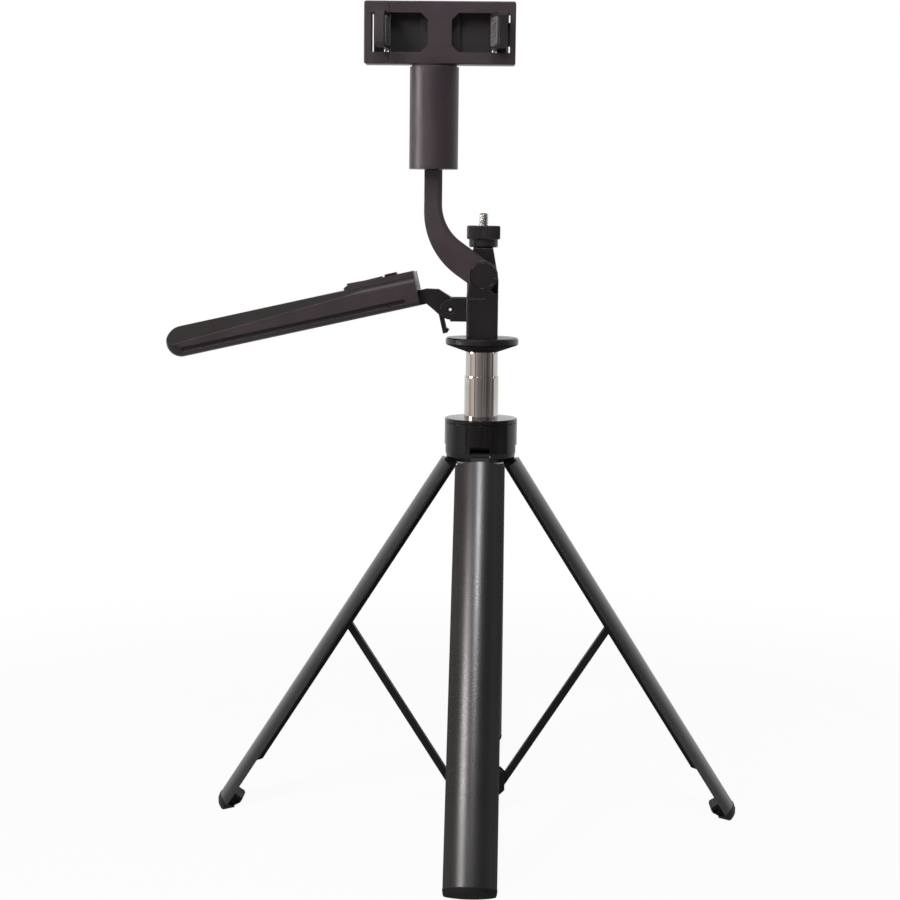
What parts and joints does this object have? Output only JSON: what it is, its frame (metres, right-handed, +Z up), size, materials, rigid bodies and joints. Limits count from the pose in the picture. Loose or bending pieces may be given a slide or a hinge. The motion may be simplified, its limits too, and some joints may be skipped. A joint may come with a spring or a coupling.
{
  "type": "selfie stick on a four-legged folding stand",
  "caption": "Telescopic selfie stick on a folding umbrella-style leg stand, with a swinging phone clamp, a camera screw with lock nut and a hinged side grip.",
  "frame": {"origin": "on the floor, on the axis of the mast, between the feet", "axes": "+Z up along the mast; the head and the phone clamp face -Y; +X runs from the side grip across the head"},
  "size_m": [0.3839, 0.3512, 0.5356],
  "materials": {
    "black_satin": "satin black moulding",
    "black_gloss": "glossy black moulding",
    "leg_skin": "black anodised satin skin",
    "chrome": "bright plated tube",
    "steel": "plain steel",
    "rubber": "soft black rubber",
    "grey_strip": "light grey ribbed plastic"
  },
  "bodies": {
    "mast": {"mast_outer_tube": "chrome", "runner": "black_satin"},
    "hub": {"hub": "black_gloss", "hub_cap": "black_gloss", "leg_pin_front": "steel", "leg_pin_right": "steel", "leg_pin_back": "steel", "leg_pin_left": "steel"},
    "head": {"mast_inner_tube": "chrome", "flange": "black_gloss", "head_body": "black_satin", "arm_pivot_pin": "steel", "camera_screw": "steel", "grip_pin": "steel"},
    "nut": {"lock_nut": "black_gloss"},
    "grip": {"grip_knuckle": "black_satin", "grip_body": "black_satin", "grip_rocker": "black_satin", "grip_button": "black_satin", "grip_end_strip": "grey_strip"},
    "arm": {"phone_arm": "black_satin"},
    "clamp": {"pan_housing": "black_satin", "pan_collar": "black_satin", "clamp_body": "black_satin", "flap_pin_right": "steel"},
    "jaw": {"sliding_jaw": "black_satin", "flap_pin_left": "steel"},
    "left_flap": {"flap_left": "black_satin", "flap_pad_left": "rubber"},
    "right_flap": {"flap_right": "black_satin", "flap_pad_right": "rubber"},
    "front_leg": {"leg_shell_front": "leg_skin", "leg_channel_front": "black_satin", "leg_foot_front": "rubber"},
    "front_strut": {"strut_front": "black_satin"},
    "right_leg": {"leg_shell_right": "leg_skin", "leg_channel_right": "black_satin", "leg_foot_right": "rubber"},
    "right_strut": {"strut_right": "black_satin"},
    "back_leg": {"leg_shell_back": "leg_skin", "leg_channel_back": "black_satin", "leg_foot_back": "rubber"},
    "back_strut": {"strut_back": "black_satin"},
    "left_leg": {"leg_shell_left": "leg_skin", "leg_channel_left": "black_satin", "leg_foot_left": "rubber"},
    "left_strut": {"strut_left": "black_satin"}
  },
  "joints": [
    {"name": "stand_fold", "type": "slide", "parent": "mast", "child": "hub", "axis": [0, 0, 1], "range_m": [0, 0.0407]},
    {"name": "front_leg_hinge", "type": "hinge", "parent": "hub", "child": "front_leg", "pos_m": [0, -0.017, 0.2425], "axis": [1, 0, 0], "range_deg": [0, 32.48]},
    {"name": "front_strut_hinge", "type": "hinge", "parent": "mast", "child": "front_strut", "pos_m": [0, -0.016, 0.0165], "axis": [-1, 0, 0], "range_deg": [0, 33.59]},
    {"name": "right_leg_hinge", "type": "hinge", "parent": "hub", "child": "right_leg", "pos_m": [0.017, 0, 0.2425], "axis": [0, 1, 0], "range_deg": [0, 32.48]},
    {"name": "right_strut_hinge", "type": "hinge", "parent": "mast", "child": "right_strut", "pos_m": [0.016, 0, 0.0165], "axis": [0, -1, 0], "range_deg": [0, 33.59]},
    {"name": "back_leg_hinge", "type": "hinge", "parent": "hub", "child": "back_leg", "pos_m": [0, 0.017, 0.2425], "axis": [-1, 0, 0], "range_deg": [0, 32.48]},
    {"name": "back_strut_hinge", "type": "hinge", "parent": "mast", "child": "back_strut", "pos_m": [0, 0.016, 0.0165], "axis": [1, 0, 0], "range_deg": [0, 33.59]},
    {"name": "left_leg_hinge", "type": "hinge", "parent": "hub", "child": "left_leg", "pos_m": [-0.017, 0, 0.2425], "axis": [0, -1, 0], "range_deg": [0, 32.48]},
    {"name": "left_strut_hinge", "type": "hinge", "parent": "mast", "child": "left_strut", "pos_m": [-0.016, 0, 0.0165], "axis": [0, 1, 0], "range_deg": [0, 33.59]},
    {"name": "mast_extension", "type": "slide", "parent": "mast", "child": "head", "axis": [0, 0, 1], "range_m": [-0.0155, 0.19]},
    {"name": "nut_spin", "type": "hinge", "parent": "head", "child": "nut", "pos_m": [0, 0.006, 0.384], "axis": [0, 0, 1], "continuous": true},
    {"name": "grip_hinge", "type": "hinge", "parent": "head", "child": "grip", "pos_m": [-0.021, 0, 0.3387], "axis": [0, 1, 0], "range_deg": [-40, 20]},
    {"name": "arm_tilt", "type": "hinge", "parent": "head", "child": "arm", "pos_m": [0, -0.0095, 0.361], "axis": [0, 1, 0], "range_deg": [-15, 115]},
    {"name": "clamp_pan", "type": "hinge", "parent": "arm", "child": "clamp", "pos_m": [-0.0328, -0.0095, 0.4292], "axis": [0, 0, 1], "continuous": true},
    {"name": "jaw_slide", "type": "slide", "parent": "clamp", "child": "jaw", "axis": [-1, 0, 0], "range_m": [0, 0.025], "stiffness_N_per_m": 150, "springref_m": -0.01},
    {"name": "left_flap_fold", "type": "hinge", "parent": "jaw", "child": "left_flap", "pos_m": [-0.0641, -0.0133, 0.51575], "axis": [0, 0, 1], "range_deg": [0, 96]},
    {"name": "right_flap_fold", "type": "hinge", "parent": "clamp", "child": "right_flap", "pos_m": [0.0053, -0.0133, 0.51575], "axis": [0, 0, -1], "range_deg": [0, 105]}
  ],
  "couplings": [
    {"joint": "front_leg_hinge", "follows": "stand_fold", "rad_per_m": 13.927},
    {"joint": "front_strut_hinge", "follows": "stand_fold", "rad_per_m": 14.401},
    {"joint": "right_leg_hinge", "follows": "stand_fold", "rad_per_m": 13.927},
    {"joint": "right_strut_hinge", "follows": "stand_fold", "rad_per_m": 14.401},
    {"joint": "back_leg_hinge", "follows": "stand_fold", "rad_per_m": 13.927},
    {"joint": "back_strut_hinge", "follows": "stand_fold", "rad_per_m": 14.401},
    {"joint": "left_leg_hinge", "follows": "stand_fold", "rad_per_m": 13.927},
    {"joint": "left_strut_hinge", "follows": "stand_fold", "rad_per_m": 14.401}
  ]
}
